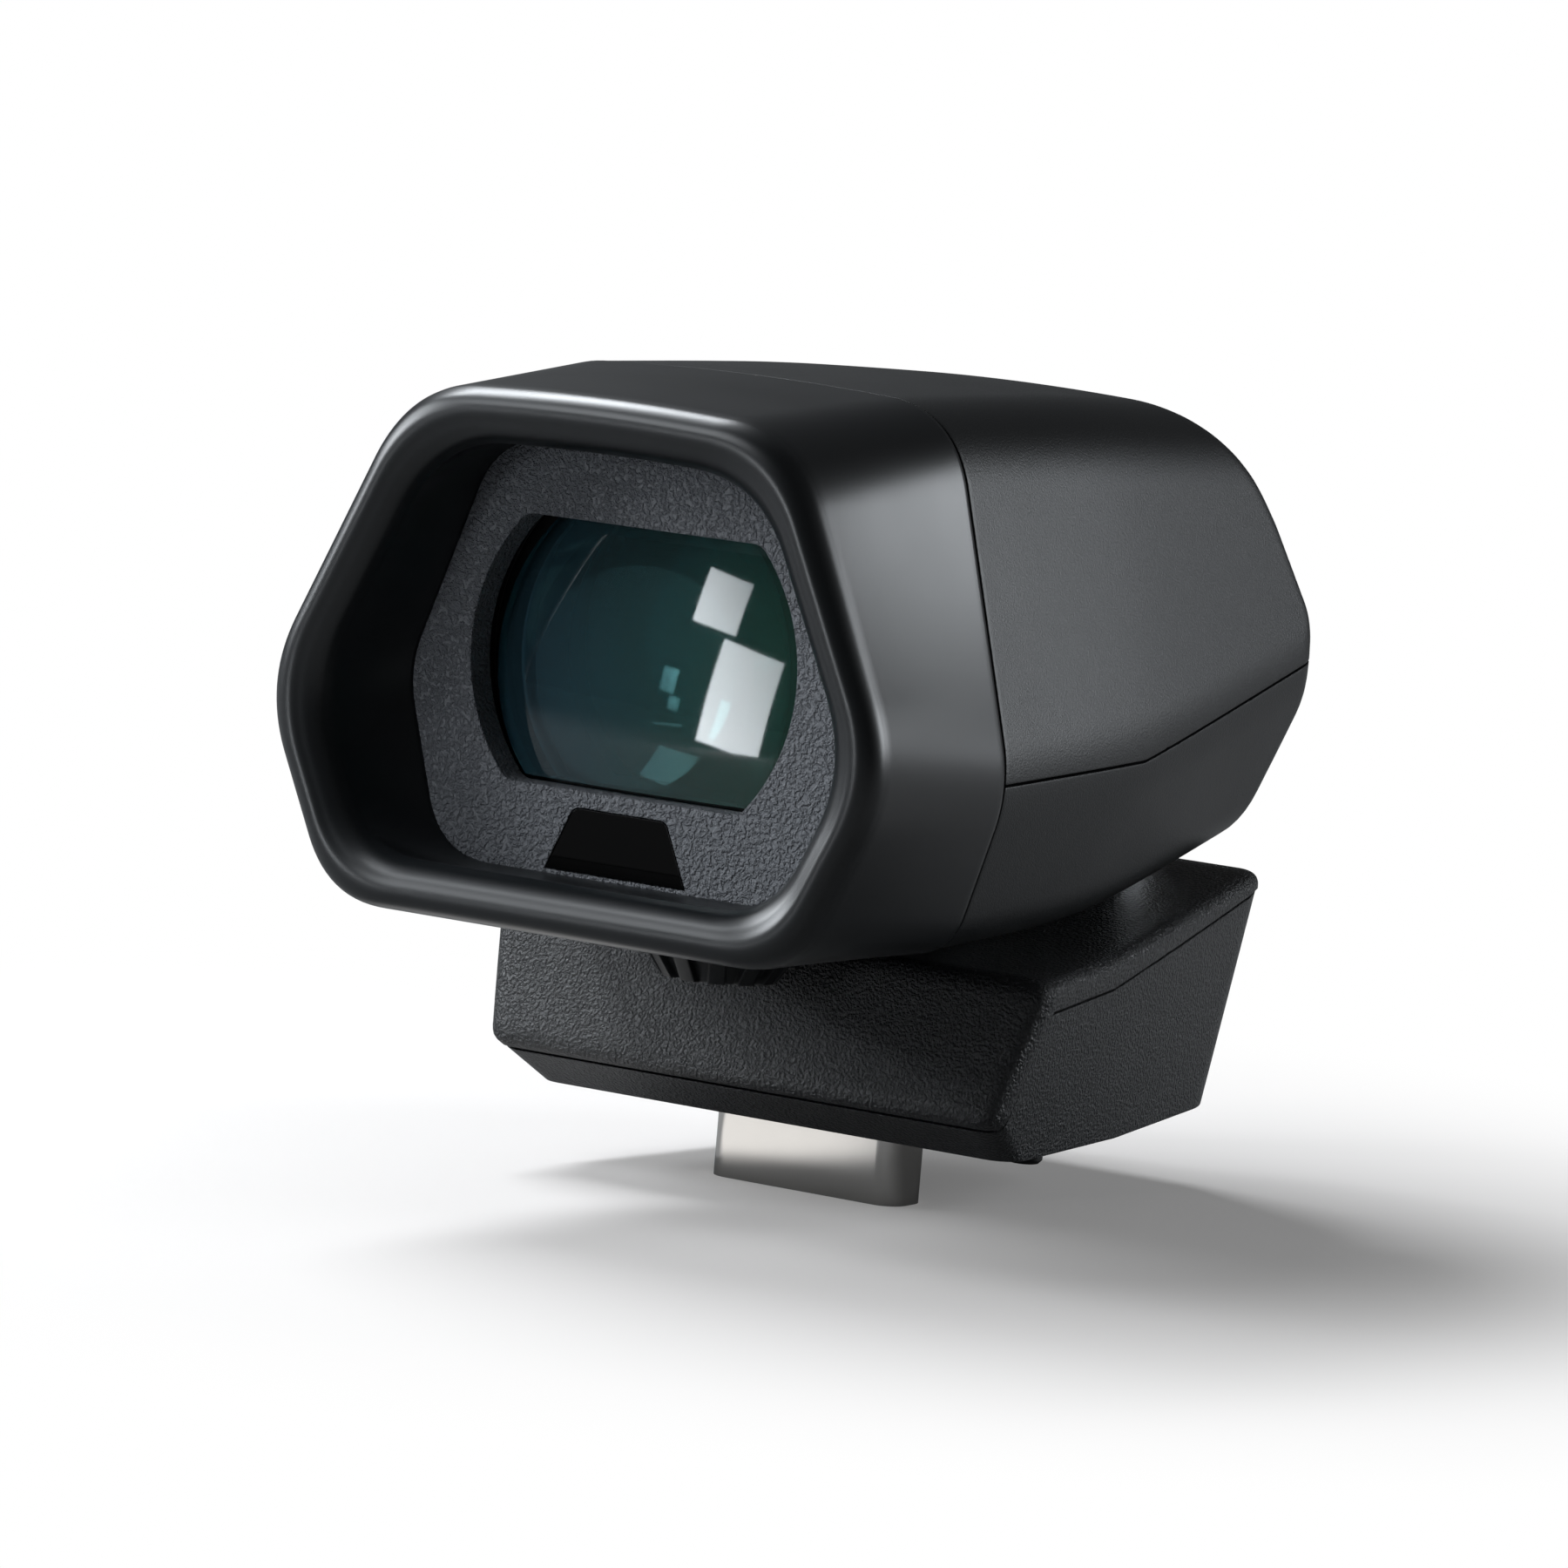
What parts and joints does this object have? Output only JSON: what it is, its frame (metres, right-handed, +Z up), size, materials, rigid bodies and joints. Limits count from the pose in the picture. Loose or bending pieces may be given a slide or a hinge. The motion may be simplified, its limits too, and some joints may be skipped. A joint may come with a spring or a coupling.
{
  "type": "electronic viewfinder",
  "caption": "Clip-on electronic viewfinder with a tilting head, soft six-sided eyecup, flat-sided eyepiece, ribbed dioptre knob and a wedge-shaped base with an electrical plug.",
  "frame": {"origin": "middle of the plug, on the seat face under the base", "axes": "+Z up out of the seat face, +Y away from the eye along the optical axis at rest, +X to the right as the eye looks in"},
  "size_m": [0.0562, 0.0856, 0.0674],
  "materials": {
    "housing": "fine-grained matt black",
    "bezel": "coarse leather grain, dark grey",
    "rubber": "smooth satin",
    "base": "coarse grain, near black",
    "inner_plastic": "plain moulded black",
    "gloss_window": "gloss black",
    "glass": "coated clear",
    "nickel": "bright nickel plate",
    "steel": "brushed",
    "dark_steel": "black oxide",
    "aluminium": "matt anodised",
    "brass": "plain",
    "circuit": "solder-masked laminate",
    "chip": "moulded package",
    "lead": "amber film",
    "knob": "satin, ribbed",
    "display": "dark glossy display"
  },
  "bodies": {
    "base": {"base_lower_housing": "base", "base_upper_cover": "base", "base_screws": "dark_steel", "hinge_bracket": "steel", "bracket_screws": "dark_steel", "hinge_pins": "steel", "friction_washers": "brass", "disc_springs": "steel", "hinge_nuts": "steel", "base_board": "circuit", "base_board_screws": "dark_steel", "base_controller": "chip", "base_connector": "inner_plastic", "base_flex_lead": "lead", "plug_shell": "nickel", "plug_tongue": "inner_plastic", "plug_contacts": "brass", "locating_pins": "inner_plastic"},
    "head": {"head_upper_housing": "housing", "head_lower_housing": "housing", "eyepiece_bezel": "bezel", "bezel_screws": "dark_steel", "eyecup": "rubber", "eyecup_frame": "inner_plastic", "proximity_window": "gloss_window", "proximity_sensor": "chip", "proximity_board": "circuit", "sensor_flex": "lead", "optics_chassis": "aluminium", "guide_rods": "steel", "display_glass": "glass", "display_panel": "display", "display_holder": "inner_plastic", "display_board": "circuit", "display_screws": "dark_steel", "display_flex": "lead", "driver_board": "circuit", "driver_screws": "dark_steel", "video_processor": "chip", "shield_can": "steel", "driver_connectors": "inner_plastic", "housing_screws": "dark_steel", "knob_bush": "brass", "knob_wave_washer": "steel", "hinge_knuckle": "steel", "knuckle_screws": "dark_steel", "head_flex_lead": "lead"},
    "diopter_knob": {"diopter_knob": "knob", "knob_crank": "steel", "knob_screw": "dark_steel"},
    "lens_carriage": {"lens_carriage": "inner_plastic", "rod_bushings": "brass", "eye_lens": "glass", "eye_lens_ring": "inner_plastic", "crown_lens": "glass", "flint_lens": "glass", "lens_spacer": "inner_plastic", "field_lens": "glass", "rear_lens_ring": "inner_plastic"}
  },
  "joints": [
    {"name": "head_tilt", "type": "hinge", "parent": "base", "child": "head", "pos_m": [0, 0.033, 0.0178], "axis": [-1, 0, 0], "range_deg": [0, 70]},
    {"name": "diopter_turn", "type": "hinge", "parent": "head", "child": "diopter_knob", "pos_m": [0, -0.0178, 0.0164], "axis": [0, 0, 1], "range_deg": [-80, 80]},
    {"name": "lens_focus", "type": "slide", "parent": "head", "child": "lens_carriage", "axis": [0, 1, 0], "range_m": [-0.00158, 0.00158]}
  ],
  "couplings": [
    {"joint": "diopter_turn", "follows": "lens_focus", "rad_per_m": 549.45}
  ]
}
